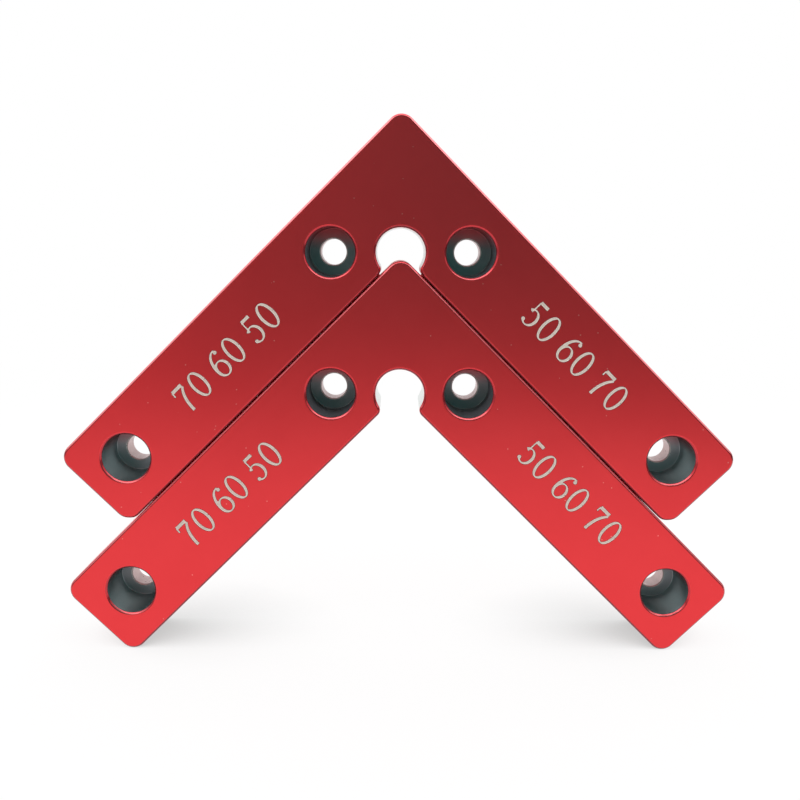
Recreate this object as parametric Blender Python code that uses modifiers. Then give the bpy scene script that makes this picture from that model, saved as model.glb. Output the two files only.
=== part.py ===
"""Pair of L-shaped right angle positioning blocks, nested one on the other.

Each block is one piece, machined from flat aluminium bar and then anodised red.
Both are cut to the same drawing, so one machined mesh is made and placed twice:
the lower block stands on the tips of its legs with its corner up, and the upper
one straddles it, so that its inner faces lie on the lower block's outer faces.

A block is drawn flat. Its own frame has its origin where the two outer faces
would meet without their rounding, halfway through the thickness. X runs along one
leg, Y along the other, and Z points out of the front face, where the screws go in.
"""

import math

import bmesh
import bpy

# The L-shaped bar, in metres
LEG_LENGTH = 0.100
LEG_WIDTH = 0.020
THICKNESS = 0.015
CORNER_RADIUS = 0.003
EDGE_CHAMFER = 0.0004

# Round relief at the inner corner, which leaves room for the corner of a workpiece
RELIEF_RADIUS = 0.005
RELIEF_NECK_RADIUS = 0.0016

# Counterbored holes for M5 cap screws, on the middle line of each leg
FIRST_HOLE_FROM_INNER_FACE = 0.010
LAST_HOLE_FROM_TIP = 0.010
SCREW_HOLE_RADIUS = 0.00275
COUNTERBORE_RADIUS = 0.005
FLOOR_UNDER_SCREW_HEAD = 0.005
HOLE_RIM_CHAMFER = 0.0004
HEAD_SEAT_CHAMFER = 0.0002

# Clearance between the faces on which the upper block rests
SEAT_GAP = 0.0003

# How finely round shapes are divided, and how far a cutter runs past a face
OUTER_CORNER_STEPS = 8
NECK_STEPS = 6
RELIEF_STEPS = 32
HOLE_STEPS = 44
CUTTER_OVERRUN = 0.001
MERGE_DISTANCE = 0.000001
SHARP_ANGLE = math.radians(30)
FLAT_ANGLE = math.radians(1)

# Which way a block stands: the front turned to -Y, and the corner of the L up
STANDING = (math.radians(90), math.radians(135), 0)

RED_ANODISE = (0.62, 0.035, 0.045, 1)
RED_ROUGHNESS = 0.38
BARE_ALUMINIUM = (0.72, 0.73, 0.74, 1)
BARE_ROUGHNESS = 0.3


def clear_scene():
    for old in list(bpy.data.objects):
        bpy.data.objects.remove(old)


def new_collection(name):
    collection = bpy.data.collections.new(name)
    bpy.context.scene.collection.children.link(collection)
    return collection


def metal(name, colour, roughness):
    material = bpy.data.materials.new(name)
    material.use_nodes = True
    shader = material.node_tree.nodes["Principled BSDF"]
    shader.inputs["Base Color"].default_value = colour
    shader.inputs["Roughness"].default_value = roughness
    shader.inputs["Metallic"].default_value = 1
    material.diffuse_color = colour
    return material


def arc(centre, radius, start, end, steps):
    """Points of an arc from one angle to another, both ends included."""
    turn = (end - start) / steps
    return [
        (
            centre[0] + radius * math.cos(start + turn * step),
            centre[1] + radius * math.sin(start + turn * step),
        )
        for step in range(steps + 1)
    ]


def leg_tip(steps):
    """The two rounded corners at the end of the leg that runs along X."""
    across = math.pi / 2
    outer = (LEG_LENGTH - CORNER_RADIUS, CORNER_RADIUS)
    inner = (LEG_LENGTH - CORNER_RADIUS, LEG_WIDTH - CORNER_RADIUS)
    return (
        arc(outer, CORNER_RADIUS, -across, 0, steps)
        + arc(inner, CORNER_RADIUS, 0, across, steps)
    )


def relief_neck():
    """The rounded edge from the X leg's inner face into the relief.

    Its arc touches the inner face and the relief's circle, whose centre is where
    the two inner faces would meet.
    """
    to_neck = RELIEF_RADIUS + RELIEF_NECK_RADIUS
    dip = math.asin(RELIEF_NECK_RADIUS / to_neck)
    centre = (LEG_WIDTH + to_neck * math.cos(dip), LEG_WIDTH - RELIEF_NECK_RADIUS)
    points = arc(centre, RELIEF_NECK_RADIUS, math.pi / 2, math.pi - dip, NECK_STEPS)
    return points, dip


def mirrored(points):
    """The same points on the other leg, in the order that keeps the outline going."""
    return [(y, x) for x, y in reversed(points)]


def block_outline():
    """The flat outline, anticlockwise from the rounded outer corner of the L."""
    corner = arc(
        (CORNER_RADIUS, CORNER_RADIUS), CORNER_RADIUS,
        math.pi, math.pi * 3 / 2, OUTER_CORNER_STEPS,
    )
    tip = leg_tip(OUTER_CORNER_STEPS)
    neck, dip = relief_neck()
    relief = arc(
        (LEG_WIDTH, LEG_WIDTH), RELIEF_RADIUS,
        -dip, dip - math.pi * 3 / 2, RELIEF_STEPS,
    )
    # The ends of the relief's arc are the ends of the two necks
    return corner + tip + neck + relief[1:-1] + mirrored(neck) + mirrored(tip)


def block_blank(collection):
    """The sawn and profiled bar, with its edges chamfered but without its holes."""
    outline = block_outline()
    curve = bpy.data.curves.new("block_outline", "CURVE")
    curve.dimensions = "2D"
    curve.fill_mode = "BOTH"
    curve.extrude = THICKNESS / 2
    spline = curve.splines.new("POLY")
    spline.points.add(len(outline) - 1)
    for point, (x, y) in zip(spline.points, outline):
        point.co = (x, y, 0, 1)
    spline.use_cyclic_u = True
    drawing = bpy.data.objects.new("block_outline", curve)
    collection.objects.link(drawing)

    depsgraph = bpy.context.evaluated_depsgraph_get()
    mesh = bpy.data.meshes.new_from_object(drawing.evaluated_get(depsgraph))
    weld = bmesh.new()
    weld.from_mesh(mesh)
    bmesh.ops.remove_doubles(weld, verts=weld.verts, dist=MERGE_DISTANCE)
    # The caps are filled with triangles, and a clean chamfer needs each as one face
    bmesh.ops.dissolve_limit(
        weld, angle_limit=FLAT_ANGLE, verts=weld.verts, edges=weld.edges
    )
    weld.to_mesh(mesh)
    weld.free()
    mesh.name = "block_blank"

    blank = bpy.data.objects.new("block_blank", mesh)
    collection.objects.link(blank)
    blank.matrix_world = drawing.matrix_world
    bpy.data.objects.remove(drawing)

    chamfer = blank.modifiers.new("edge_chamfer", "BEVEL")
    chamfer.width = EDGE_CHAMFER
    chamfer.segments = 1
    chamfer.limit_method = "ANGLE"
    chamfer.angle_limit = SHARP_ANGLE
    chamfer.use_clamp_overlap = False
    return blank


def screw_hole_profile():
    """Half section of a screw hole, from the front face down to the back face."""
    front = THICKNESS / 2
    back = -front
    seat = back + FLOOR_UNDER_SCREW_HEAD
    mouth = HOLE_RIM_CHAMFER + CUTTER_OVERRUN
    return [
        (0, front + CUTTER_OVERRUN),
        (COUNTERBORE_RADIUS + mouth, front + CUTTER_OVERRUN),
        (COUNTERBORE_RADIUS, front - HOLE_RIM_CHAMFER),
        (COUNTERBORE_RADIUS, seat),
        (SCREW_HOLE_RADIUS + HEAD_SEAT_CHAMFER, seat),
        (SCREW_HOLE_RADIUS, seat - HEAD_SEAT_CHAMFER),
        (SCREW_HOLE_RADIUS, back + HOLE_RIM_CHAMFER),
        (SCREW_HOLE_RADIUS + mouth, back - CUTTER_OVERRUN),
        (0, back - CUTTER_OVERRUN),
    ]


def screw_hole_mesh():
    profile = screw_hole_profile()
    mesh = bpy.data.meshes.new("screw_hole_cutter")
    edges = [(end - 1, end) for end in range(1, len(profile))]
    mesh.from_pydata([(radius, 0, height) for radius, height in profile], edges, [])
    return mesh


def screw_hole_places():
    """Hole centres on the middle lines of both legs, measured from the outer corner."""
    along_leg = (LEG_WIDTH + FIRST_HOLE_FROM_INNER_FACE, LEG_LENGTH - LAST_HOLE_FROM_TIP)
    middle = LEG_WIDTH / 2
    return [(reach, middle) for reach in along_leg] + [(middle, reach) for reach in along_leg]


def cut_screw_holes(blank, collection):
    mesh = screw_hole_mesh()
    for number, (x, y) in enumerate(screw_hole_places(), start=1):
        cutter = bpy.data.objects.new(f"screw_hole_cutter_{number}", mesh)
        cutter.location = (x, y, 0)
        cutter.hide_render = True
        cutter.display_type = "WIRE"
        collection.objects.link(cutter)

        turned = cutter.modifiers.new("turned", "SCREW")
        turned.axis = "Z"
        turned.steps = HOLE_STEPS
        turned.render_steps = HOLE_STEPS
        turned.use_merge_vertices = True
        turned.merge_threshold = MERGE_DISTANCE

        drilled = blank.modifiers.new(f"screw_hole_{number}", "BOOLEAN")
        drilled.operation = "DIFFERENCE"
        drilled.solver = "EXACT"
        drilled.object = cutter


def is_cut_after_anodising(face):
    """True on the walls of the holes and of the relief, which are bare metal."""
    across = face.normal.z
    if abs(across) > math.cos(SHARP_ANGLE):
        # A face parallel to the front is bare only at the bottom of a counterbore
        return abs(face.center.z) < THICKNESS / 2 - MERGE_DISTANCE
    if abs(across) > math.sin(SHARP_ANGLE):
        # Rims are coloured, and only the small chamfer under a screw head is bare
        return abs(face.center.z) < THICKNESS / 2 - max(EDGE_CHAMFER, HOLE_RIM_CHAMFER)
    round_cuts = [((LEG_WIDTH, LEG_WIDTH), RELIEF_RADIUS)]
    round_cuts += [(place, COUNTERBORE_RADIUS) for place in screw_hole_places()]
    return any(
        math.dist(face.center.xy, centre) < radius for centre, radius in round_cuts
    )


def machined_block_mesh(collection):
    """One finished block: the blank with its holes cut, as a plain mesh."""
    blank = block_blank(collection)
    blank.hide_render = True
    blank.display_type = "WIRE"
    cut_screw_holes(blank, collection)
    bpy.context.view_layer.update()

    depsgraph = bpy.context.evaluated_depsgraph_get()
    mesh = bpy.data.meshes.new_from_object(blank.evaluated_get(depsgraph))
    mesh.name = "machined_block"
    mesh.materials.clear()
    mesh.materials.append(metal("red_anodised_aluminium", RED_ANODISE, RED_ROUGHNESS))
    mesh.materials.append(metal("bare_aluminium", BARE_ALUMINIUM, BARE_ROUGHNESS))
    for face in mesh.polygons:
        face.material_index = int(is_cut_after_anodising(face))
    mesh.shade_smooth()
    mesh.set_sharp_from_angle(angle=SHARP_ANGLE)
    return mesh


def corner_height():
    """Height of the lower block's outer corner when its leg tips stand on the floor."""
    to_tip_centre = LEG_LENGTH + LEG_WIDTH - CORNER_RADIUS * 2
    return to_tip_centre / math.sqrt(2) + CORNER_RADIUS


def seated_rise():
    """How much higher the upper block sits: its inner faces clear the lower one's legs."""
    return (LEG_WIDTH + SEAT_GAP) * math.sqrt(2)


def place_block(name, mesh, height, collection):
    block = bpy.data.objects.new(name, mesh)
    block.location = (0, 0, height)
    block.rotation_euler = STANDING
    collection.objects.link(block)
    return block


def build():
    clear_scene()
    parts = new_collection("right_angle_positioning_blocks")
    cutters = new_collection("cutters")
    mesh = machined_block_mesh(cutters)
    place_block("lower_block", mesh, corner_height(), parts)
    place_block("upper_block", mesh, corner_height() + seated_rise(), parts)


build()
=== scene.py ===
"""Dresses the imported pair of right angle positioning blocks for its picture."""

import math

import bpy
from mathutils import Matrix, Vector
from mathutils.geometry import delaunay_2d_cdt


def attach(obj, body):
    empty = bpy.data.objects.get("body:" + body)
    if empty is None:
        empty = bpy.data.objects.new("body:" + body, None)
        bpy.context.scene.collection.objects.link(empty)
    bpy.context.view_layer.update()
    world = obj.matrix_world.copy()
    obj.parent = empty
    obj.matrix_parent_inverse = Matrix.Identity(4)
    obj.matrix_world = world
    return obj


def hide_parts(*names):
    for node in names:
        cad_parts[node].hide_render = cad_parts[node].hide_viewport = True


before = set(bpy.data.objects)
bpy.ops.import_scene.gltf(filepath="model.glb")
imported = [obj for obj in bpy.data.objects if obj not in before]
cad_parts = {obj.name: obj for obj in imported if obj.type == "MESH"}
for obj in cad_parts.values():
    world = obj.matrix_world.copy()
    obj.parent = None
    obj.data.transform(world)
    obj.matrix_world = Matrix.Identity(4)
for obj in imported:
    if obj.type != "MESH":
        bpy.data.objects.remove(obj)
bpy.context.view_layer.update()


# Engraved numerals
# Both legs of each block carry their distances from the outer corner, in millimetres,
# as a toolmaker marks them. A laser cuts them through the red layer into the pale
# metal after anodising, so they are shallow grooves with a dark outline.

NUMERAL_HEIGHT = 0.0059
NUMERAL_WIDTH = 0.0034
NUMERAL_PITCH = 0.0041
THICK_STROKE = 0.00074
THIN_STROKE = 0.00042
DOT_RADIUS = THICK_STROKE * 0.62
DOT_CORNERS = 16
MARKED_DISTANCES = (50, 60, 70)
NUMERAL_FOOT_FROM_EDGE = {"left": 0.0130, "right": 0.0124}


def pen_stroke(path, thick=THICK_STROKE, thin=THIN_STROKE):
    """Four-cornered patches along a path, wide where it climbs and thin where it runs flat."""
    sides = []
    for number, here in enumerate(path):
        before = path[max(number - 1, 0)]
        after = path[min(number + 1, len(path) - 1)]
        run = (after - before).normalized()
        half = (thin + (thick - thin) * abs(run.y) ** 1.5) / 2
        across = Vector((-run.y, run.x)) * half
        sides.append((here + across, here - across))
    return [
        [start[1], end[1], end[0], start[0]] for start, end in zip(sides, sides[1:])
    ]


def turned_path(centre, radii, start, end, steps=22):
    """Points on an ellipse from one angle to another, in degrees, in shares of the box."""
    path = []
    for step in range(steps + 1):
        angle = math.radians(start + (end - start) * step / steps)
        x = (centre[0] + radii[0] * math.cos(angle)) * NUMERAL_WIDTH
        y = (centre[1] + radii[1] * math.sin(angle)) * NUMERAL_HEIGHT
        path.append(Vector((x, y)))
    return path


def straight_path(start, end, steps=3):
    first = Vector((start[0] * NUMERAL_WIDTH, start[1] * NUMERAL_HEIGHT))
    last = Vector((end[0] * NUMERAL_WIDTH, end[1] * NUMERAL_HEIGHT))
    return [first.lerp(last, step / steps) for step in range(steps + 1)]


def dot(x, y):
    """The round end of a hooked stroke."""
    centre = Vector((x * NUMERAL_WIDTH, y * NUMERAL_HEIGHT))
    angles = [math.tau * turn / DOT_CORNERS for turn in range(DOT_CORNERS)]
    return [[
        centre + Vector((math.cos(angle), math.sin(angle))) * DOT_RADIUS for angle in angles
    ]]


def nought():
    return pen_stroke(turned_path((0.5, 0.5), (0.40, 0.472), 0, 360, 44))


def five():
    stem = straight_path((0.24, 0.50), (0.27, 0.95))
    bowl = turned_path((0.42, 0.335), (0.40, 0.30), 140, -128, 40)
    flag = straight_path((0.24, 0.945), (0.86, 0.945))
    return (
        pen_stroke(stem, THICK_STROKE * 0.55)
        + pen_stroke(flag, THICK_STROKE, THIN_STROKE * 1.9)
        + pen_stroke(bowl)
        + dot(0.15, 0.13)
    )


def six():
    ring = turned_path((0.50, 0.305), (0.39, 0.278), 0, 360, 44)
    back = turned_path((0.76, 0.36), (0.655, 0.608), 184, 84, 30)
    return pen_stroke(ring) + pen_stroke(back) + dot(0.80, 0.885)


def seven():
    bar = straight_path((0.11, 0.93), (0.90, 0.93))
    serif = straight_path((0.12, 0.93), (0.10, 0.74))
    leg = turned_path((1.28, 0.02), (0.90, 0.93), 115, 182, 20)
    return (
        pen_stroke(bar, THICK_STROKE, THIN_STROKE * 2.0)
        + pen_stroke(serif, THIN_STROKE)
        + pen_stroke(leg, THICK_STROKE * 1.05, THICK_STROKE * 0.5)
    )


NUMERALS = {"0": nought, "5": five, "6": six, "7": seven}

# For the union of a numeral's patches: its mode, its weld in millimetres, and the fewest
# corners of an outline that is no sliver between patches
INSIDE_ONLY = 1
NUMERAL_WELD = 0.0001
SMALLEST_OUTLINE = 6


def outlines_of(patches):
    """Closed outlines of the patches' union, with the groove on the left of each."""
    # They are joined in millimetres, where a weld distance keeps its digits
    corners, faces = [], []
    for patch in patches:
        area = sum(
            a.x * b.y - b.x * a.y for a, b in zip(patch, patch[1:] + patch[:1])
        )
        patch = patch if area > 0 else patch[::-1]
        faces.append(list(range(len(corners), len(corners) + len(patch))))
        corners += [point * 1000 for point in patch]
    points, _, triangles, _, _, owners = delaunay_2d_cdt(
        corners, [], faces, INSIDE_ONLY, NUMERAL_WELD
    )
    edges = {}
    for triangle, owner in zip(triangles, owners):
        if owner:
            edges.update(dict.fromkeys(zip(triangle, triangle[1:] + triangle[:1])))
    rim = {}
    for start, end in edges:
        if (end, start) not in edges:
            rim.setdefault(start, []).append(end)
    loops = []
    while rim:
        start = next(iter(rim))
        loop = [start]
        while True:
            ends = rim[loop[-1]]
            following = ends.pop()
            if not ends:
                del rim[loop[-1]]
            if following == start:
                break
            loop.append(following)
        if len(loop) >= SMALLEST_OUTLINE:
            loops.append([points[index] / 1000 for index in loop])
    return loops


def marked_distances():
    """Outlines of every numeral, in the flat drawing of a block."""
    loops = []
    for leg, foot in NUMERAL_FOOT_FROM_EDGE.items():
        for distance in MARKED_DISTANCES:
            for place, figure in enumerate(str(distance)):
                shift = (place - 0.5) * NUMERAL_PITCH - NUMERAL_WIDTH / 2
                for loop in outlines_of(NUMERALS[figure]()):
                    if leg == "left":
                        loops.append([
                            (distance / 1000 - shift - point.x, foot - point.y)
                            for point in loop
                        ])
                    else:
                        loops.append([
                            (foot - point.y, distance / 1000 + shift + point.x)
                            for point in loop
                        ])
    return loops


def numeral_drawing():
    drawing = bpy.data.curves.new("numeral_drawing", "CURVE")
    drawing.dimensions = "3D"
    for loop in marked_distances():
        spline = drawing.splines.new("POLY")
        spline.points.add(len(loop) - 1)
        for point, (x, y) in zip(spline.points, loop):
            point.co = (x, y, 0, 1)
        spline.use_cyclic_u = True
    return drawing


# Machined blocks
# Two alike L-shaped blocks, milled from flat aluminium bar, blasted and anodised red. The
# counterbored holes and the round relief at the inner corner are cut after anodising,
# which leaves them bare. The upper block lies loose on the lower one.

LEG_LENGTH = 0.100
LEG_WIDTH = 0.020
THICKNESS = 0.015
CORNER_RADIUS = 0.003
EDGE_CHAMFER = 0.0004
EDGE_ROUND = 0.0004
FINE_ROUND = 0.00006
RELIEF_RADIUS = 0.005
RELIEF_NECK_RADIUS = 0.0016
HOLE_FROM_INNER_FACE = 0.010
HOLE_FROM_TIP = 0.010
SCREW_HOLE_RADIUS = 0.00275
COUNTERBORE_RADIUS = 0.005
FLOOR_UNDER_SCREW_HEAD = 0.005
HOLE_RIM_CHAMFER = 0.0004
HEAD_SEAT_CHAMFER = 0.0002
BORE_FLOOR_RADIUS = 0.0001
GROOVE_DEPTH = 0.00006
GROOVE_WALL = 0.00004
BURNT_LIP = 0.0001
SEAT_GAP = 0.0003
SEAT_LEAN = 0.000298
SEAT_MARGIN = 0.0002
STANDING = (math.radians(90), math.radians(135), 0)
TIP_REACH = LEG_LENGTH + LEG_WIDTH - CORNER_RADIUS * 2
CORNER_HEIGHT = TIP_REACH / math.sqrt(2) + CORNER_RADIUS
SEATED_RISE = (LEG_WIDTH + SEAT_GAP) * math.sqrt(2)


def put(tree, kind, inputs=(), **settings):
    """One more node, with its settings, and with a number or a wire at its sockets."""
    node = tree.nodes.new(kind)
    for name, value in settings.items():
        setattr(node, name, value)
    for name, value in dict(inputs).items():
        if isinstance(value, bpy.types.NodeSocket):
            tree.links.new(value, node.inputs[name])
        else:
            node.inputs[name].default_value = value
    return node


def calc(tree, operation, first, second=0.0):
    return put(tree, "ShaderNodeMath", {0: first, 1: second}, operation=operation).outputs[0]


def times(tree, first, second):
    return calc(tree, "MULTIPLY", first, second)


def plus(tree, first, second):
    return calc(tree, "ADD", first, second)


def minus(tree, first, second):
    return calc(tree, "SUBTRACT", first, second)


def spread(tree, value, low, high, from_low=0.0, from_high=1.0):
    """The value stretched from one range to another, and held at its ends."""
    return put(tree, "ShaderNodeMapRange", {
        "Value": value, "From Min": from_low, "From Max": from_high, "To Min": low, "To Max": high,
    }).outputs["Result"]


def point_at(tree, x=0.0, y=0.0, z=0.0):
    return put(tree, "ShaderNodeCombineXYZ", {0: x, 1: y, 2: z}).outputs[0]


def parts_of(tree, vector):
    """The x, y and z of a vector."""
    return put(tree, "ShaderNodeSeparateXYZ", {0: vector}).outputs


def length_of(tree, vector):
    return put(tree, "ShaderNodeVectorMath", {0: vector}, operation="LENGTH").outputs["Value"]


def flat_length(tree, vector):
    """How long a vector is when its z is left out."""
    flat = put(tree, "ShaderNodeVectorMath", {0: vector, 1: (1, 1, 0)}, operation="MULTIPLY")
    return length_of(tree, flat.outputs[0])


def position(tree):
    return put(tree, "GeometryNodeInputPosition").outputs[0]


def point_number(tree):
    return put(tree, "GeometryNodeInputIndex").outputs[0]


def drawn_line(tree, points):
    """A line through points, each of them x and y, in the given order."""
    pick = put(tree, "GeometryNodeIndexSwitch", data_type="VECTOR")
    for _ in range(len(points) - 2):
        pick.index_switch_items.new()
    tree.links.new(point_number(tree), pick.inputs["Index"])
    for number, (x, y) in enumerate(points):
        tree.links.new(point_at(tree, x, y), pick.inputs[number + 1])
    dots = put(tree, "GeometryNodePoints", {"Count": len(points), "Position": pick.outputs[0]})
    return put(tree, "GeometryNodePointsToCurves", {"Points": dots.outputs[0]}).outputs[0]


def softened(tree, line, radii):
    """The line with a radius at each of its points, or none."""
    pick = put(tree, "GeometryNodeIndexSwitch", data_type="FLOAT")
    for _ in range(len(radii) - 2):
        pick.index_switch_items.new()
    tree.links.new(point_number(tree), pick.inputs["Index"])
    for number, radius in enumerate(radii):
        if radius is None:
            pick.inputs[number + 1].default_value = 0
        else:
            tree.links.new(radius, pick.inputs[number + 1])
    return put(
        tree, "GeometryNodeFilletCurve",
        {"Curve": line, "Count": 4, "Radius": pick.outputs[0]}, mode="POLY",
    ).outputs[0]


def arc_at(tree, x, y, radius, start, sweep, points):
    """An arc round (x, y), from an angle and through a sweep."""
    arc = put(
        tree, "GeometryNodeCurveArc",
        {"Resolution": points, "Radius": radius, "Start Angle": start, "Sweep Angle": sweep},
        mode="RADIUS",
    )
    return put(
        tree, "GeometryNodeTransform",
        {"Geometry": arc.outputs[0], "Translation": point_at(tree, x, y)},
    ).outputs[0]


def joined(tree, *pieces):
    """Pieces as one geometry, in the given order."""
    whole = pieces[0]
    for piece in pieces[1:]:
        join = put(tree, "GeometryNodeJoinGeometry")
        tree.links.new(piece, join.inputs[0])
        tree.links.new(whole, join.inputs[0])
        whole = join.outputs[0]
    return whole


def without_ends(tree, curve, first, last):
    ends = put(tree, "GeometryNodeCurveEndpointSelection", {"Start Size": first, "End Size": last})
    return put(
        tree, "GeometryNodeDeleteGeometry",
        {"Geometry": curve, "Selection": ends.outputs[0]}, domain="POINT",
    ).outputs[0]


def as_one_line(tree, curves):
    dots = put(tree, "GeometryNodeCurveToPoints", {"Curve": curves}, mode="EVALUATED")
    return put(tree, "GeometryNodePointsToCurves", {"Points": dots.outputs[0]}).outputs[0]


def swept(tree, path, section):
    """A shell along a path, whose section lies outwards and down from it."""
    upright = put(tree, "GeometryNodeSetCurveNormal", {0: path}, mode="Z_UP").outputs[0]
    shell = put(tree, "GeometryNodeCurveToMesh", {"Curve": upright, "Profile Curve": section})
    return put(
        tree, "GeometryNodeSetShadeSmooth", {"Geometry": shell.outputs[0]}, domain="FACE"
    ).outputs[0]


def kept(tree, geometry, name, value, domain="FACE"):
    """Keeps a number on the faces or points, for the finish to read."""
    return put(
        tree, "GeometryNodeStoreNamedAttribute",
        {"Geometry": geometry, "Name": name, "Value": value},
        data_type="FLOAT", domain=domain,
    ).outputs[0]


def where_kept(tree, name):
    """True where the number that was kept under a name is over a half."""
    number = put(tree, "GeometryNodeInputNamedAttribute", {"Name": name}, data_type="FLOAT")
    return put(
        tree, "FunctionNodeCompare", {0: number.outputs[0], 1: 0.5},
        data_type="FLOAT", operation="GREATER_THAN",
    ).outputs[0]


def filled(tree, shells, height, side):
    """A flat face between the open edges that the shells have at a height."""
    open_edge = put(
        tree, "FunctionNodeCompare",
        {2: put(tree, "GeometryNodeInputMeshEdgeNeighbors").outputs[0], 3: 1},
        data_type="INT", operation="EQUAL",
    ).outputs[0]
    level = parts_of(tree, position(tree))[2]
    near = put(
        tree, "FunctionNodeCompare", {0: level, 1: height, 12: 0.000001},
        data_type="FLOAT", operation="EQUAL",
    ).outputs[0]
    both = put(tree, "FunctionNodeBooleanMath", {0: open_edge, 1: near}, operation="AND")
    rims = put(tree, "GeometryNodeMeshToCurve", {"Mesh": shells, "Selection": both.outputs[0]})
    face = put(tree, "GeometryNodeFillCurve", {"Curve": rims.outputs[0]}, mode="TRIANGLES")
    face = put(
        tree, "GeometryNodeTransform",
        {"Geometry": face.outputs[0], "Translation": point_at(tree, 0, 0, height)},
    )
    if side < 0:
        face = put(tree, "GeometryNodeFlipFaces", {0: face.outputs[0]})
    return put(
        tree, "GeometryNodeSetShadeSmooth",
        {"Geometry": face.outputs[0], "Shade Smooth": False}, domain="FACE",
    ).outputs[0]


BLOCK_SIZES = {
    "Leg Length": LEG_LENGTH,
    "Leg Width": LEG_WIDTH,
    "Thickness": THICKNESS,
    "Corner Radius": CORNER_RADIUS,
    "Edge Chamfer": EDGE_CHAMFER,
    "Edge Round": EDGE_ROUND,
    "Fine Round": FINE_ROUND,
    "Relief Radius": RELIEF_RADIUS,
    "Relief Neck Radius": RELIEF_NECK_RADIUS,
    "Hole from Inner Face": HOLE_FROM_INNER_FACE,
    "Hole from Tip": HOLE_FROM_TIP,
    "Screw Hole Radius": SCREW_HOLE_RADIUS,
    "Counterbore Radius": COUNTERBORE_RADIUS,
    "Floor under Screw Head": FLOOR_UNDER_SCREW_HEAD,
    "Hole Rim Chamfer": HOLE_RIM_CHAMFER,
    "Head Seat Chamfer": HEAD_SEAT_CHAMFER,
    "Bore Floor Radius": BORE_FLOOR_RADIUS,
    "Groove Depth": GROOVE_DEPTH,
    "Groove Wall": GROOVE_WALL,
    "Burnt Lip": BURNT_LIP,
    "Seat Margin": SEAT_MARGIN,
    "Seat Lean": 0.0,
    "Edge Highlight": 1.0,
    "Corner Height": CORNER_HEIGHT,
}
# Each finish, and the number kept on the faces it covers. The first covers every face
BLOCK_FINISHES = {
    "Anodised Faces": None,
    "Milled Relief": "relief",
    "Counterbores": "counterbore",
    "Screw Holes": "screw_hole",
    "Engraved Grooves": "engraved",
}
QUARTER = math.pi / 2
SMALL_ARC_POINTS = 13
CORNER_ARC_POINTS = 25
RELIEF_ARC_POINTS = 33
HOLE_POINTS = 72
WELD_DISTANCE = 0.000002


def front_and_back(tree, given):
    """Heights of the two faces, measured from the middle of the thickness."""
    front = times(tree, given["Thickness"], 0.5)
    return front, times(tree, front, -1)


def how_it_faces(tree):
    """How flat a face lies, how far it looks up on the standing block, and if it is a chamfer."""
    across, along, out = parts_of(tree, put(tree, "GeometryNodeInputNormal").outputs[0])
    flatness = calc(tree, "ABSOLUTE", out)
    faces_up = calc(tree, "DIVIDE", plus(tree, across, along), -math.sqrt(2))
    chamfered = times(
        tree, calc(tree, "GREATER_THAN", flatness, 0.3), calc(tree, "LESS_THAN", flatness, 0.95)
    )
    return flatness, faces_up, chamfered


def half_outline(tree, given):
    """From the outer corner, round one leg, to the middle of the relief."""
    length, width, corner = given["Leg Length"], given["Leg Width"], given["Corner Radius"]
    relief, neck, margin = given["Relief Radius"], given["Relief Neck Radius"], given["Seat Margin"]
    tip = minus(tree, length, corner)
    inner = minus(tree, width, corner)
    to_neck = plus(tree, relief, neck)
    dip = calc(tree, "ARCSINE", calc(tree, "DIVIDE", neck, to_neck))
    neck_x = plus(tree, width, times(tree, to_neck, calc(tree, "COSINE", dip)))
    neck_y = minus(tree, width, neck)
    round_relief = arc_at(
        tree, width, width, relief,
        times(tree, dip, -1), minus(tree, dip, QUARTER * 1.5), RELIEF_ARC_POINTS,
    )

    # The inner face is marked as a seat, and the corner next to it from its twelfth point on
    seat_line = put(tree, "GeometryNodeCurvePrimitiveLine", {
        "Start": point_at(tree, minus(tree, tip, margin), width),
        "End": point_at(tree, plus(tree, neck_x, margin), width),
    }).outputs[0]
    seat_line = kept(tree, seat_line, "seat_face", 1.0, "POINT")
    near_seat = spread(tree, point_number(tree), 0.0, 1.0, 12.0, 18.0)
    tip_corner = arc_at(tree, tip, inner, corner, 0, QUARTER, CORNER_ARC_POINTS)
    tip_corner = kept(tree, tip_corner, "seat_face", near_seat, "POINT")
    return as_one_line(tree, joined(
        tree,
        arc_at(tree, corner, corner, corner, QUARTER * 2.5, QUARTER / 2, SMALL_ARC_POINTS),
        arc_at(tree, tip, corner, corner, -QUARTER, QUARTER, CORNER_ARC_POINTS),
        tip_corner,
        seat_line,
        arc_at(tree, neck_x, neck_y, neck, QUARTER, minus(tree, QUARTER, dip), SMALL_ARC_POINTS),
        without_ends(tree, round_relief, 1, 0),
    ))


def whole_outline(tree, given):
    """The outline of the L, whose second leg is the first one mirrored."""
    half = half_outline(tree, given)
    x, y, _ = parts_of(tree, position(tree))
    mirrored = put(
        tree, "GeometryNodeSetPosition", {"Geometry": half, "Position": point_at(tree, y, x)}
    ).outputs[0]
    mirrored = put(tree, "GeometryNodeReverseCurve", {"Curve": mirrored}).outputs[0]
    outline = as_one_line(tree, joined(tree, half, without_ends(tree, mirrored, 1, 1)))
    return put(
        tree, "GeometryNodeSetSplineCyclic", {"Geometry": outline, "Cyclic": True}
    ).outputs[0]


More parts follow.
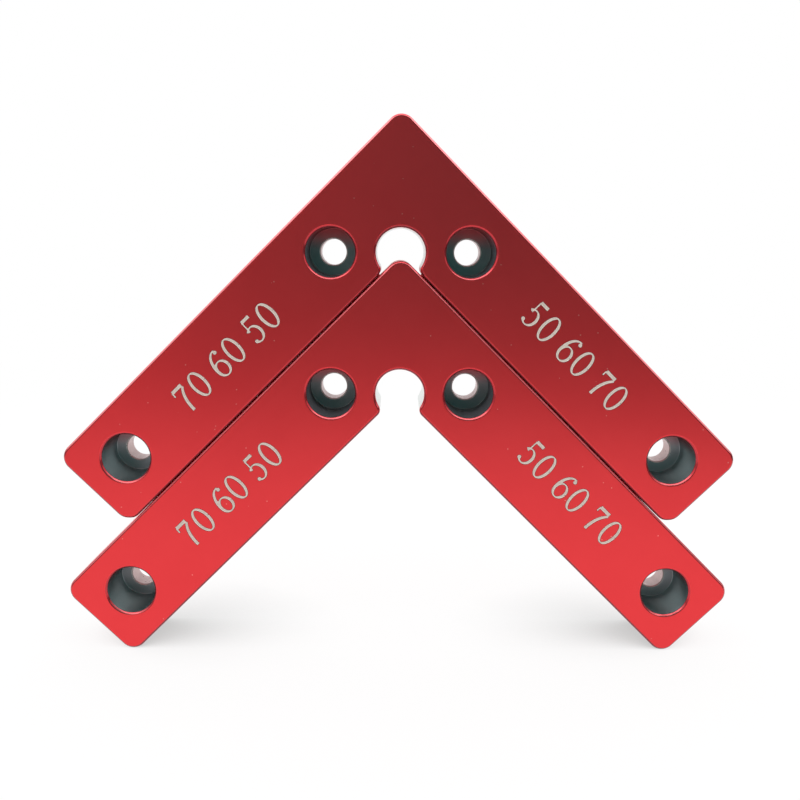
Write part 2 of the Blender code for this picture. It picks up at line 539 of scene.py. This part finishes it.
def rounded_sides(tree, given):
    """The sides, with a chamfer to each face and every edge softly rounded."""
    front, back = front_and_back(tree, given)
    cut, soft = given["Edge Chamfer"], given["Edge Round"]
    rest = times(tree, soft, 0.6)
    inset = times(tree, cut, -1)
    on_face = minus(tree, inset, rest)
    drop = minus(tree, cut, front)
    lower_drop = plus(tree, drop, rest)
    rise = times(tree, drop, -1)
    upper_rise = times(tree, lower_drop, -1)
    section = softened(tree, drawn_line(tree, [
        (on_face, back), (inset, back), (0, drop), (0, lower_drop),
        (0, upper_rise), (0, rise), (inset, front), (on_face, front),
    ]), (None, soft, soft, None, None, soft, soft, None))
    return swept(tree, whole_outline(tree, given), section)


def leaning_seats(tree, given, sides):
    """The seats lean in by the given amount at the back, where they touch the lower block."""
    x, y, z = parts_of(tree, position(tree))
    behind = spread(tree, z, 1.0, 0.5, -0.001, 0.001)
    seated = put(tree, "GeometryNodeInputNamedAttribute", {"Name": "seat_face"}, data_type="FLOAT")
    lean = times(tree, given["Seat Lean"], times(tree, behind, seated.outputs[0]))
    on_first_leg = calc(tree, "GREATER_THAN", x, y)
    push = point_at(
        tree, times(tree, lean, minus(tree, 1.0, on_first_leg)), times(tree, lean, on_first_leg)
    )
    return put(tree, "GeometryNodeSetPosition", {"Geometry": sides, "Offset": push}).outputs[0]


def marked_sides(tree, given, sides):
    """Keeps what the finishes ask about the sides."""
    width, relief, neck = given["Leg Width"], given["Relief Radius"], given["Relief Neck Radius"]
    from_middle = put(
        tree, "ShaderNodeVectorMath",
        {0: position(tree), 1: point_at(tree, width, width)}, operation="SUBTRACT",
    )
    reach = flat_length(tree, from_middle.outputs[0])
    bare_reach = plus(tree, relief, times(tree, neck, 0.85))
    flatness, faces_up, chamfered = how_it_faces(tree)
    in_relief = times(
        tree, calc(tree, "LESS_THAN", reach, bare_reach), calc(tree, "LESS_THAN", flatness, 0.2)
    )
    # Where the painted dark line of shade goes, beside the flat face
    painted_crease_shade = times(
        tree,
        spread(tree, flatness, 0.0, 1.0, 0.8, 0.9), spread(tree, flatness, 1.0, 0.0, 0.97, 1.0),
    )
    sides = kept(tree, kept(tree, sides, "chamfer", chamfered), "relief", in_relief)
    sides = kept(tree, sides, "faces_up", faces_up, "POINT")
    sides = kept(tree, sides, "painted_crease_shade", painted_crease_shade, "POINT")
    # The share of the painted edge highlight and of the painted crease shade on this block
    return kept(tree, sides, "wear_and_edge_highlight", given["Edge Highlight"])


def hole_section(tree, given):
    """Half section of a counterbored hole, from its rim at the back to that at the front."""
    front, back = front_and_back(tree, given)
    soft, fine, floor_round = given["Edge Round"], given["Fine Round"], given["Bore Floor Radius"]
    bore, screw = given["Counterbore Radius"], given["Screw Hole Radius"]
    rim, seat_cut = given["Hole Rim Chamfer"], given["Head Seat Chamfer"]
    rest = plus(tree, rim, times(tree, soft, 0.6))
    seat_rest = plus(tree, seat_cut, times(tree, fine, 2))
    floor_rest = times(tree, floor_round, 1.5)
    seat_down = times(tree, plus(tree, back, given["Floor under Screw Head"]), -1)
    return softened(tree, drawn_line(tree, [
        (plus(tree, screw, rest), front),
        (plus(tree, screw, rim), front),
        (screw, minus(tree, front, rim)),
        (screw, minus(tree, front, rest)),
        (screw, plus(tree, seat_down, seat_rest)),
        (screw, plus(tree, seat_down, seat_cut)),
        (plus(tree, screw, seat_cut), seat_down),
        (plus(tree, screw, seat_rest), seat_down),
        (minus(tree, bore, floor_rest), seat_down),
        (bore, seat_down),
        (bore, minus(tree, seat_down, floor_rest)),
        (bore, plus(tree, back, rest)),
        (bore, plus(tree, back, rim)),
        (plus(tree, bore, rim), back),
        (plus(tree, bore, rest), back),
    ]), (
        None, soft, soft, None, None, fine, fine, None,
        None, floor_round, None, None, soft, soft, None,
    ))


def counterbored_hole(tree, given):
    """One hole round the middle of the drawing, with what its finishes ask about it."""
    bore, screw = given["Counterbore Radius"], given["Screw Hole Radius"]
    rim, seat_cut = given["Hole Rim Chamfer"], given["Head Seat Chamfer"]
    front, _ = front_and_back(tree, given)
    ring = put(
        tree, "GeometryNodeCurvePrimitiveCircle", {"Resolution": HOLE_POINTS, "Radius": bore}
    )
    section = put(tree, "GeometryNodeTransform", {
        "Geometry": hole_section(tree, given),
        "Translation": point_at(tree, times(tree, bore, -1)),
    }).outputs[0]
    hole = swept(tree, ring.outputs[0], section)

    x, y, z = parts_of(tree, position(tree))
    from_axis = flat_length(tree, position(tree))
    upwards = calc(tree, "DIVIDE", plus(tree, x, y), times(tree, bore, -math.sqrt(2)))
    _, faces_up, chamfered = how_it_faces(tree)
    rim_light = times(tree, calc(tree, "MAXIMUM", faces_up, 0.0), 0.75)
    rim_height = minus(tree, front, plus(tree, rim, -0.00001))
    below_rim = calc(tree, "LESS_THAN", calc(tree, "ABSOLUTE", z), rim_height)
    at_rim = times(tree, chamfered, minus(tree, 1.0, below_rim))
    drilled_reach = plus(tree, screw, plus(tree, seat_cut, given["Fine Round"]))
    drilled = times(tree, calc(tree, "LESS_THAN", from_axis, drilled_reach), below_rim)
    hole = kept(tree, hole, "from_axis", from_axis, "POINT")
    hole = kept(tree, hole, "upwards", upwards, "POINT")
    hole = kept(tree, hole, "faces_up", rim_light, "POINT")
    # The hole rims take a smaller share of the painted edge highlight
    hole = kept(tree, hole, "wear_and_edge_highlight", 0.45)
    hole = kept(tree, kept(tree, hole, "chamfer", at_rim), "counterbore", below_rim)
    return kept(tree, hole, "screw_hole", drilled)


def placed_holes(tree, given):
    """Two holes on the middle line of each leg. The two near the tips are marked, and their bores
    are coloured lighter.
    """
    near = plus(tree, given["Leg Width"], given["Hole from Inner Face"])
    far = minus(tree, given["Leg Length"], given["Hole from Tip"])
    centre_line = times(tree, given["Leg Width"], 0.5)
    places = drawn_line(tree, [
        (near, centre_line), (far, centre_line), (centre_line, near), (centre_line, far),
    ])
    holes = put(tree, "GeometryNodeInstanceOnPoints", {
        "Points": places, "Instance": counterbored_hole(tree, given),
    })
    holes = put(tree, "GeometryNodeRealizeInstances", {0: holes.outputs[0]}).outputs[0]
    x, y, _ = parts_of(tree, position(tree))
    halfway = times(tree, plus(tree, near, far), 0.5)
    near_tip = calc(tree, "GREATER_THAN", calc(tree, "MAXIMUM", x, y), halfway)
    return kept(tree, holes, "tip_bore", near_tip)


def engraved_numerals(tree, given):
    """Shallow grooves, whose walls lean in below a burnt lip towards a flat floor."""
    front, back = front_and_back(tree, given)
    depth = given["Groove Depth"]
    groove_floor = minus(tree, front, depth)
    inner_lip = times(tree, given["Burnt Lip"], -1)
    section = drawn_line(tree, [
        (minus(tree, inner_lip, given["Groove Wall"]), times(tree, groove_floor, -1)),
        (inner_lip, plus(tree, back, times(tree, depth, 0.4))),
        (times(tree, inner_lip, 0.8), plus(tree, back, times(tree, depth, 0.2))),
        (0, back),
    ])
    on_lip = calc(tree, "GREATER_THAN", point_number(tree), 1.5)
    section = kept(tree, section, "burnt_lip", on_lip, "POINT")
    walls = kept(tree, swept(tree, given["Numeral Drawing"], section), "groove_wall", 1.0)
    floors = kept(tree, filled(tree, walls, groove_floor, 1), "groove_wall", 0.0)
    return kept(tree, joined(tree, walls, floors), "engraved", 1.0)


def machined_block_tree():
    tree = bpy.data.node_groups.new("machined_block", "GeometryNodeTree")
    face = tree.interface
    face.new_socket("Numeral Drawing", in_out="INPUT", socket_type="NodeSocketGeometry")
    for name, size in BLOCK_SIZES.items():
        face.new_socket(name, in_out="INPUT", socket_type="NodeSocketFloat").default_value = size
    for name in BLOCK_FINISHES:
        face.new_socket(name, in_out="INPUT", socket_type="NodeSocketMaterial")
    face.new_socket("Block", in_out="OUTPUT", socket_type="NodeSocketGeometry")
    given = tree.nodes.new("NodeGroupInput").outputs

    sides = marked_sides(tree, given, leaning_seats(tree, given, rounded_sides(tree, given)))
    shells = joined(tree, sides, placed_holes(tree, given), engraved_numerals(tree, given))
    front, back = front_and_back(tree, given)
    caps = joined(tree, filled(tree, shells, front, 1), filled(tree, shells, back, -1))
    whole = put(tree, "GeometryNodeMergeByDistance", {
        "Geometry": joined(tree, shells, caps), "Distance": WELD_DISTANCE,
    }).outputs[0]
    whole = put(tree, "GeometryNodeTransform", {
        "Geometry": whole,
        "Translation": point_at(tree, 0, 0, given["Corner Height"]),
        "Rotation": STANDING,
    }).outputs[0]
    whole = put(tree, "GeometryNodeRealizeInstances", {0: whole}).outputs[0]
    for finish, covered in BLOCK_FINISHES.items():
        painted = put(
            tree, "GeometryNodeSetMaterial", {"Geometry": whole, "Material": given[finish]}
        )
        if covered:
            tree.links.new(where_kept(tree, covered), painted.inputs["Selection"])
        whole = painted.outputs[0]
    tree.links.new(whole, tree.nodes.new("NodeGroupOutput").inputs[0])
    return tree


BLAST_DEPTH = 0.000004
CUTTER_LINE_PITCH = 0.00025
CUTTER_LINE_DEPTH = 0.0000015
TURNED_RING_PITCH = 0.0002
TURNED_RING_DEPTH = 0.000006
SEAT_HIGHLIGHT_WIDTH = 0.00005
WALL_FOOT_HEIGHT = 0.0025
HATCH_PITCH = 0.00016
BURN_DEPTH = 0.00001


def new_finish(name):
    material = bpy.data.materials.new(name)
    material.use_nodes = True
    tree = material.node_tree
    return material, tree, tree.nodes["Principled BSDF"]


def on_part(tree):
    return put(tree, "ShaderNodeTexCoord").outputs["Object"]


def face_number(tree, name):
    return put(tree, "ShaderNodeAttribute", attribute_name=name).outputs["Fac"]


def speckle(tree, place, scale, detail=2.0, roughness=0.5):
    return put(tree, "ShaderNodeTexNoise", {
        "Vector": place, "Scale": scale, "Detail": detail, "Roughness": roughness,
    }).outputs["Fac"]


def mixed(tree, share, first, second, kind="RGBA"):
    """From the first colour or number to the second, by a share."""
    node = put(tree, "ShaderNodeMix", {0: share}, data_type=kind)
    base = {"FLOAT": 2, "RGBA": 6}[kind]
    for slot, value in ((base, first), (base + 1, second)):
        if isinstance(value, bpy.types.NodeSocket):
            tree.links.new(value, node.inputs[slot])
        else:
            node.inputs[slot].default_value = value
    return node.outputs[{"FLOAT": 0, "RGBA": 2}[kind]]


def raised(tree, height, depth, strength=1.0):
    return put(tree, "ShaderNodeBump", {
        "Height": height, "Distance": depth, "Strength": strength,
    }).outputs[0]


def dust_specks(tree, place, scale, radius, share):
    """One where a tiny fleck of dust lies, in a share of the cells."""
    cells = put(tree, "ShaderNodeTexVoronoi", {"Vector": place, "Scale": scale})
    near = calc(tree, "LESS_THAN", cells.outputs["Distance"], radius * scale)
    chosen = put(tree, "ShaderNodeSeparateColor", {0: cells.outputs["Color"]}).outputs[0]
    return times(tree, near, calc(tree, "LESS_THAN", chosen, share))


def anodised_faces():
    """Blasted, then taking red dye through its oxide film, with its edges broken before that; its
    edges carry painted highlights and painted shade.
    """
    material, tree, shader = new_finish("blasted_red_anodise")
    place = on_part(tree)
    edge = face_number(tree, "chamfer")
    grain = speckle(tree, place, 7000, 3, 0.7)
    cloud = speckle(tree, place, 90, 3, 0.6)
    dust = dust_specks(tree, place, 500, 0.00013, 0.36)
    red = mixed(tree, cloud, (0.84, 0.036, 0.043, 1), (0.90, 0.045, 0.052, 1))
    # Painted light: edges that face up are painted pale as a highlight, and edges that face down
    # are painted dark as shade
    faces_up = face_number(tree, "faces_up")
    wear_and_edge_highlight = face_number(tree, "wear_and_edge_highlight")
    edge_lit_share = times(
        tree,
        spread(tree, faces_up, 0.0, 1.0, 0.25, 0.45), spread(tree, faces_up, 1.0, 0.0, 0.515, 0.60),
    )
    edge_highlight_share = times(tree, edge_lit_share, wear_and_edge_highlight)
    edge_red_painted_light = mixed(tree, edge_highlight_share, (0.62, 0.030, 0.042, 1), (0.95, 0.20, 0.22, 1))
    painted_shade_below = spread(tree, faces_up, 1.0, 0.0, -0.35, 0.1)
    edge_red_painted_light = mixed(tree, painted_shade_below, edge_red_painted_light, (0.25, 0.020, 0.030, 1))
    red = mixed(tree, edge, red, edge_red_painted_light)
    # Painted shade: a dark line is painted where the face turns into an upper edge
    on_upper_edge = spread(tree, faces_up, 0.0, 1.0, 0.03, 0.10)
    painted_crease_shade = times(tree, face_number(tree, "painted_crease_shade"), on_upper_edge)
    red = mixed(tree, times(tree, painted_crease_shade, wear_and_edge_highlight), red, (0.20, 0.004, 0.008, 1))
    red = mixed(tree, times(tree, dust, 0.6), red, (1.0, 0.36, 0.33, 1))
    tree.links.new(red, shader.inputs["Base Color"])
    blasted = spread(tree, grain, 0.30, 0.40)
    tree.links.new(mixed(tree, edge, blasted, 0.22, "FLOAT"), shader.inputs["Roughness"])
    metallic = mixed(tree, times(tree, edge_highlight_share, edge), 0.9, 0.35, "FLOAT")
    tree.links.new(metallic, shader.inputs["Metallic"])
    tree.links.new(mixed(tree, edge, 0.3, 0.6, "FLOAT"), shader.inputs["Coat Weight"])
    shader.inputs["Coat Roughness"].default_value = 0.25
    on_faces = minus(tree, 1.0, times(tree, edge, 0.9))
    tree.links.new(raised(tree, grain, BLAST_DEPTH, on_faces), shader.inputs["Normal"])
    return material


def milled_relief():
    """Bare metal where the round relief was milled, with the fine lines of the cutter."""
    material, tree, shader = new_finish("milled_bare_aluminium")
    place = on_part(tree)
    lines = calc(tree, "SINE", times(tree, parts_of(tree, place)[1], math.tau / CUTTER_LINE_PITCH))
    wear_and_edge_highlight = speckle(tree, place, 600, 3, 0.6)
    grey = mixed(tree, wear_and_edge_highlight, (0.88, 0.91, 0.89, 1), (0.93, 0.96, 0.94, 1))
    tree.links.new(grey, shader.inputs["Base Color"])
    shader.inputs["Metallic"].default_value = 1
    tree.links.new(spread(tree, wear_and_edge_highlight, 0.26, 0.34), shader.inputs["Roughness"])
    tree.links.new(raised(tree, lines, CUTTER_LINE_DEPTH), shader.inputs["Normal"])
    return material


def turned_rings(tree):
    """The fine rings that the tool leaves on the wall and floor of a hole."""
    depth = parts_of(tree, on_part(tree))[1]
    travel = plus(tree, face_number(tree, "from_axis"), depth)
    return calc(tree, "SINE", times(tree, travel, math.tau / TURNED_RING_PITCH))


def counterbores():
    """Painted dark as shade in the recess, lighter near the tips, with painted red light on the
    upper side.
    """
    material, tree, shader = new_finish("counterbores_painted_dark")
    stain = speckle(tree, on_part(tree), 900, 3, 0.6)
    tip_bore = face_number(tree, "tip_bore")
    # Painted shade: floor and walls are coloured dark for the shade inside the recess
    deep = mixed(tree, stain, (0.25, 0.22, 0.23, 1), (0.32, 0.28, 0.29, 1))
    # The bores near the tips are coloured lighter and more teal
    deep = mixed(tree, tip_bore, deep, (0.46, 0.41, 0.43, 1))
    around = mixed(tree, tip_bore, (0.27, 0.29, 0.31, 1), (0.37, 0.50, 0.51, 1))
    axis = face_number(tree, "from_axis")
    floor_reach = COUNTERBORE_RADIUS - BORE_FLOOR_RADIUS
    wall = spread(tree, axis, 0.0, 1.0, floor_reach, COUNTERBORE_RADIUS)
    # The foot of the wall mirrors the dark floor, so it is paler to look no darker than that
    floor_place = THICKNESS / 2 - FLOOR_UNDER_SCREW_HEAD
    from_front = parts_of(tree, on_part(tree))[1]
    foot = spread(tree, from_front, 0.0, 1.0, floor_place - WALL_FOOT_HEIGHT, floor_place)
    foot_colour = mixed(tree, tip_bore, (0.55, 0.66, 0.66, 1), (0.55, 0.68, 0.69, 1))
    around = mixed(tree, foot, around, foot_colour)
    painted_dark_bore = mixed(tree, wall, deep, around)
    # Painted light: the upper side of each bore is painted red where light reflected up from below
    # falls
    painted_red_light = spread(tree, face_number(tree, "upwards"), 0.0, 0.85, 0.1, 0.85)
    tree.links.new(mixed(tree, painted_red_light, painted_dark_bore, (0.55, 0.07, 0.08, 1)), shader.inputs["Base Color"])
    shader.inputs["Metallic"].default_value = 0.85
    shader.inputs["Specular Tint"].default_value = (0.15, 0.17, 0.18, 1)
    tree.links.new(spread(tree, stain, 0.30, 0.38), shader.inputs["Roughness"])
    tree.links.new(raised(tree, turned_rings(tree), TURNED_RING_DEPTH), shader.inputs["Normal"])
    return material


def screw_holes():
    """Drilled after dyeing: bare metal tinted faint pink, with a painted highlight as a bright ring
    at the seat.
    """
    material, tree, shader = new_finish("drilled_screw_holes")
    stain = speckle(tree, on_part(tree), 900, 3, 0.6)
    bare = mixed(tree, stain, (0.55, 0.38, 0.37, 1), (0.68, 0.51, 0.50, 1))
    # Painted highlight: a near-white ring at the seat edge of the screw hole
    highlight_edge = SCREW_HOLE_RADIUS + SEAT_HIGHLIGHT_WIDTH
    ring = spread(tree, face_number(tree, "from_axis"), 0.0, 1.0, SCREW_HOLE_RADIUS, highlight_edge)
    tree.links.new(mixed(tree, ring, bare, (1.0, 0.93, 0.89, 1)), shader.inputs["Base Color"])
    shader.inputs["Metallic"].default_value = 0.7
    tree.links.new(spread(tree, stain, 0.24, 0.34), shader.inputs["Roughness"])
    tree.links.new(raised(tree, turned_rings(tree), TURNED_RING_DEPTH), shader.inputs["Normal"])
    return material


def engraved_grooves():
    """Metal laid open by the laser: a grey-beige floor, paler walls and a burnt lip."""
    material, tree, shader = new_finish("laser_engraving")
    place = on_part(tree)
    hatch = calc(tree, "SINE", times(tree, parts_of(tree, place)[0], math.tau / HATCH_PITCH))
    burn = speckle(tree, place, 2500, 3, 0.7)
    shade = spread(tree, plus(tree, times(tree, hatch, 0.25), burn), 0.0, 1.0, 0.2, 0.9)
    pale = mixed(tree, shade, (0.50, 0.43, 0.37, 1), (0.80, 0.69, 0.61, 1))
    pale = mixed(tree, face_number(tree, "groove_wall"), pale, (1.0, 0.87, 0.81, 1))
    # The face's edge and the lip's are one, so the number is halved there
    burnt = spread(tree, face_number(tree, "burnt_lip"), 0.0, 1.0, 0.0, 0.5)
    pale = mixed(tree, burnt, pale, (0.10, 0.012, 0.012, 1))
    tree.links.new(pale, shader.inputs["Base Color"])
    shader.inputs["Metallic"].default_value = 0.1
    shader.inputs["Roughness"].default_value = 0.5
    tree.links.new(raised(tree, shade, BURN_DEPTH), shader.inputs["Normal"])
    return material


block_tree = machined_block_tree()
block_finishes = (
    anodised_faces(), milled_relief(), counterbores(), screw_holes(), engraved_grooves()
)


def machined_block(name, node, body, changes):
    """One block as a plain mesh, with the sizes that differ from BLOCK_SIZES."""
    drawing = bpy.data.objects.new(name + "_drawing", numeral_drawing())
    bpy.context.scene.collection.objects.link(drawing)
    milling = drawing.modifiers.new("machined", "NODES")
    milling.node_group = block_tree
    sockets = {item.name: item.identifier for item in block_tree.interface.items_tree}
    for size, value in {**BLOCK_SIZES, **changes}.items():
        milling[sockets[size]] = value
    for finish, material in zip(BLOCK_FINISHES, block_finishes):
        milling[sockets[finish]] = material
    bpy.context.view_layer.update()
    depsgraph = bpy.context.evaluated_depsgraph_get()
    mesh = bpy.data.meshes.new_from_object(drawing.evaluated_get(depsgraph))
    bpy.data.objects.remove(drawing)
    mesh.materials.pop(index=0)
    mesh.name = name
    block = bpy.data.objects.new(name, mesh)
    bpy.context.scene.collection.objects.link(block)
    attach(block, body)
    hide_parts(node)


# The lower block's edges take a smaller share of the painted edge highlight
machined_block("lower_block_machined", "lower_block", "lower", {"Edge Highlight": 0.8})
machined_block("upper_block_machined", "upper_block", "upper", {
    "Corner Height": CORNER_HEIGHT + SEATED_RISE, "Seat Lean": SEAT_LEAN,
})


# Table
# A wide sheet of matt white card, on which the lower block stands on the tips of its
# legs. It runs far behind the pair, and has soft shadows round the feet, mostly painted into its
# glow and partly cast by the lamps.

TABLE_SIZE = 6.0
PAINTED_SHADOW_REACH = 0.035


def seen_or_mirrored(tree):
    """One where the camera, a metal or a glass sees the surface."""
    seen = put(tree, "ShaderNodeLightPath").outputs
    mirrored = calc(tree, "MAXIMUM", seen["Is Glossy Ray"], seen["Is Transmission Ray"])
    return calc(tree, "MAXIMUM", seen["Is Camera Ray"], mirrored)


def white_table():
    mesh = bpy.data.meshes.new("white_table")
    half = TABLE_SIZE / 2
    corners = [(-half, -half, 0), (half, -half, 0), (half, half, 0), (-half, half, 0)]
    mesh.from_pydata(corners, [], [(0, 1, 2, 3)])
    material, tree, shader = new_finish("white_sheet")
    shader.inputs["Base Color"].default_value = (0.95, 0.95, 0.95, 1)
    shader.inputs["Roughness"].default_value = 0.9
    shader.inputs["Specular IOR Level"].default_value = 0
    place = on_part(tree)
    # Painted shadow: an occlusion test, tilted outwards and to the front, darkens the glow to a
    # cool grey, so the shadows lie inwards and behind
    outwards = spread(tree, parts_of(tree, place)[0], -1.0, 1.0, -0.07, 0.07)
    covered = put(tree, "ShaderNodeAmbientOcclusion", {
        "Distance": PAINTED_SHADOW_REACH, "Normal": point_at(tree, outwards, -0.6, 1.0),
    }, samples=16)
    open_sky = spread(tree, covered.outputs["AO"], 0.0, 1.0, 0.0, 0.84)
    shadow = mixed(tree, open_sky, (0.48, 0.51, 0.505, 1), (1, 1, 1, 1))
    bright = put(tree, "ShaderNodeEmission", {"Color": shadow})
    share = spread(tree, length_of(tree, place), 0.90, 1.0, 0.15, 0.5)
    share = times(tree, seen_or_mirrored(tree), share)
    either = put(tree, "ShaderNodeMixShader", {
        0: share, 1: shader.outputs[0], 2: bright.outputs[0],
    })
    tree.links.new(either.outputs[0], tree.nodes["Material Output"].inputs[0])
    mesh.materials.append(material)
    table = bpy.data.objects.new("white_table", mesh)
    bpy.context.scene.collection.objects.link(table)


white_table()


# Light
# A white room and a soft lamp above light the blocks evenly. Slate screens, the middle
# one darkest, stand in front of the table and grey ones at its sides and back. Only
# metal shows them.

LAMP_HEIGHT = 0.45
LAMP_SIDE = 0.9
LAMP_BRIGHTNESS = 1.15
ROOM_BRIGHTNESS = 0.6
SCREEN_RADIUS = 0.26
SCREEN_STEPS = 24
SCREEN_FOOT = 0.0005
# Start and end in degrees, height, and the colours of the foot, the middle and the top
SCREENS = {
    "left_slate_screen": (
        -118, -90, 0.44, (0.11, 0.20, 0.19, 1), (0.12, 0.34, 0.31, 1), (0.06, 0.18, 0.17, 1),
    ),
    "middle_slate_screen": (
        -90, -60, 0.44, (0.08, 0.18, 0.17, 1), (0.05, 0.32, 0.29, 1), (0.02, 0.18, 0.17, 1),
    ),
    "right_slate_screen": (
        -60, -38, 0.44, (0.11, 0.20, 0.19, 1), (0.12, 0.32, 0.29, 1), (0.06, 0.18, 0.17, 1),
    ),
    "back_grey_screen": (
        50, 130, 0.30, (0.97, 0.97, 0.97, 1), (0.84, 0.85, 0.85, 1), (0.55, 0.56, 0.57, 1),
    ),
    "left_grey_screen": (
        -205, -118, 0.11, (0.45, 0.45, 0.46, 1), (0.45, 0.45, 0.46, 1), (0.45, 0.45, 0.46, 1),
    ),
    "right_grey_screen": (
        -38, 25, 0.11, (0.20, 0.20, 0.21, 1), (0.20, 0.20, 0.21, 1), (0.20, 0.20, 0.21, 1),
    ),
}


def white_room():
    world = bpy.data.worlds.new("white_room")
    bpy.context.scene.world = world
    world.use_nodes = True
    tree = world.node_tree
    background = tree.nodes["Background"]
    background.inputs["Color"].default_value = (1, 1, 1, 1)
    strength = spread(tree, seen_or_mirrored(tree), ROOM_BRIGHTNESS, 1.0)
    tree.links.new(strength, background.inputs["Strength"])


def soft_lamp():
    lamp = bpy.data.lights.new("soft_lamp", "AREA")
    lamp.size = LAMP_SIDE
    lamp.energy = LAMP_BRIGHTNESS * math.pi * LAMP_SIDE ** 2
    hung = bpy.data.objects.new("soft_lamp", lamp)
    hung.location = (0, 0, LAMP_HEIGHT)
    hung.visible_camera = False
    bpy.context.scene.collection.objects.link(hung)


def curved_screen(name, start, end, height, foot, middle, top):
    """A screen whose colour runs from its foot through its middle to its top."""
    points, faces = [], []
    for step in range(SCREEN_STEPS + 1):
        angle = math.radians(start + (end - start) * step / SCREEN_STEPS)
        x, y = SCREEN_RADIUS * math.cos(angle), SCREEN_RADIUS * math.sin(angle)
        points += [(x, y, SCREEN_FOOT), (x, y, height)]
        if step:
            faces.append((2 * step - 2, 2 * step, 2 * step + 1, 2 * step - 1))
    mesh = bpy.data.meshes.new(name)
    mesh.from_pydata(points, [], faces)
    material = bpy.data.materials.new(name + "_cloth")
    material.use_nodes = True
    tree = material.node_tree
    level = parts_of(tree, on_part(tree))[2]
    cloth = mixed(tree, spread(tree, level, 0.0, 1.0, 0.0, height / 3), foot, middle)
    cloth = mixed(tree, spread(tree, level, 0.0, 1.0, height / 3, height * 0.6), cloth, top)
    glow = put(tree, "ShaderNodeEmission", {"Color": cloth})
    tree.links.new(glow.outputs[0], tree.nodes["Material Output"].inputs[0])
    mesh.materials.append(material)
    screen = bpy.data.objects.new(name, mesh)
    bpy.context.scene.collection.objects.link(screen)
    screen.visible_camera = False
    screen.visible_diffuse = False
    screen.visible_shadow = False
    screen.visible_transmission = False


white_room()
soft_lamp()
for screen_name, screen_sizes in SCREENS.items():
    curved_screen(screen_name, *screen_sizes)


# Camera
# It stands close in front, a little above the middle of the pair, and looks slightly
# down, as a hand-held one does. Its frame is shifted to place the pair as in the photo.

CAMERA_PLACE = (-0.00113, -0.17756, 0.08504)
CAMERA_TURN = math.radians(-0.382)
CAMERA_TILT = math.radians(-8.089)
CAMERA_ROLL = math.radians(-0.383)
CAMERA_LENS = 37.93
CAMERA_SHIFT = -0.04085


def product_camera():
    data = bpy.data.cameras.new("product_camera")
    data.lens = CAMERA_LENS
    data.sensor_width = 36
    data.shift_y = CAMERA_SHIFT
    data.clip_start = 0.001
    data.clip_end = 20
    camera = bpy.data.objects.new("product_camera", data)
    aim = (
        Matrix.Rotation(CAMERA_TURN, 4, "Z")
        @ Matrix.Rotation(CAMERA_TILT, 4, "X")
        @ Matrix.Rotation(CAMERA_ROLL, 4, "Y")
        @ Matrix.Rotation(math.radians(90), 4, "X")
    )
    camera.matrix_world = Matrix.Translation(CAMERA_PLACE) @ aim
    bpy.context.scene.collection.objects.link(camera)
    bpy.context.scene.camera = camera


product_camera()
bpy.context.scene.view_settings.view_transform = "Standard"
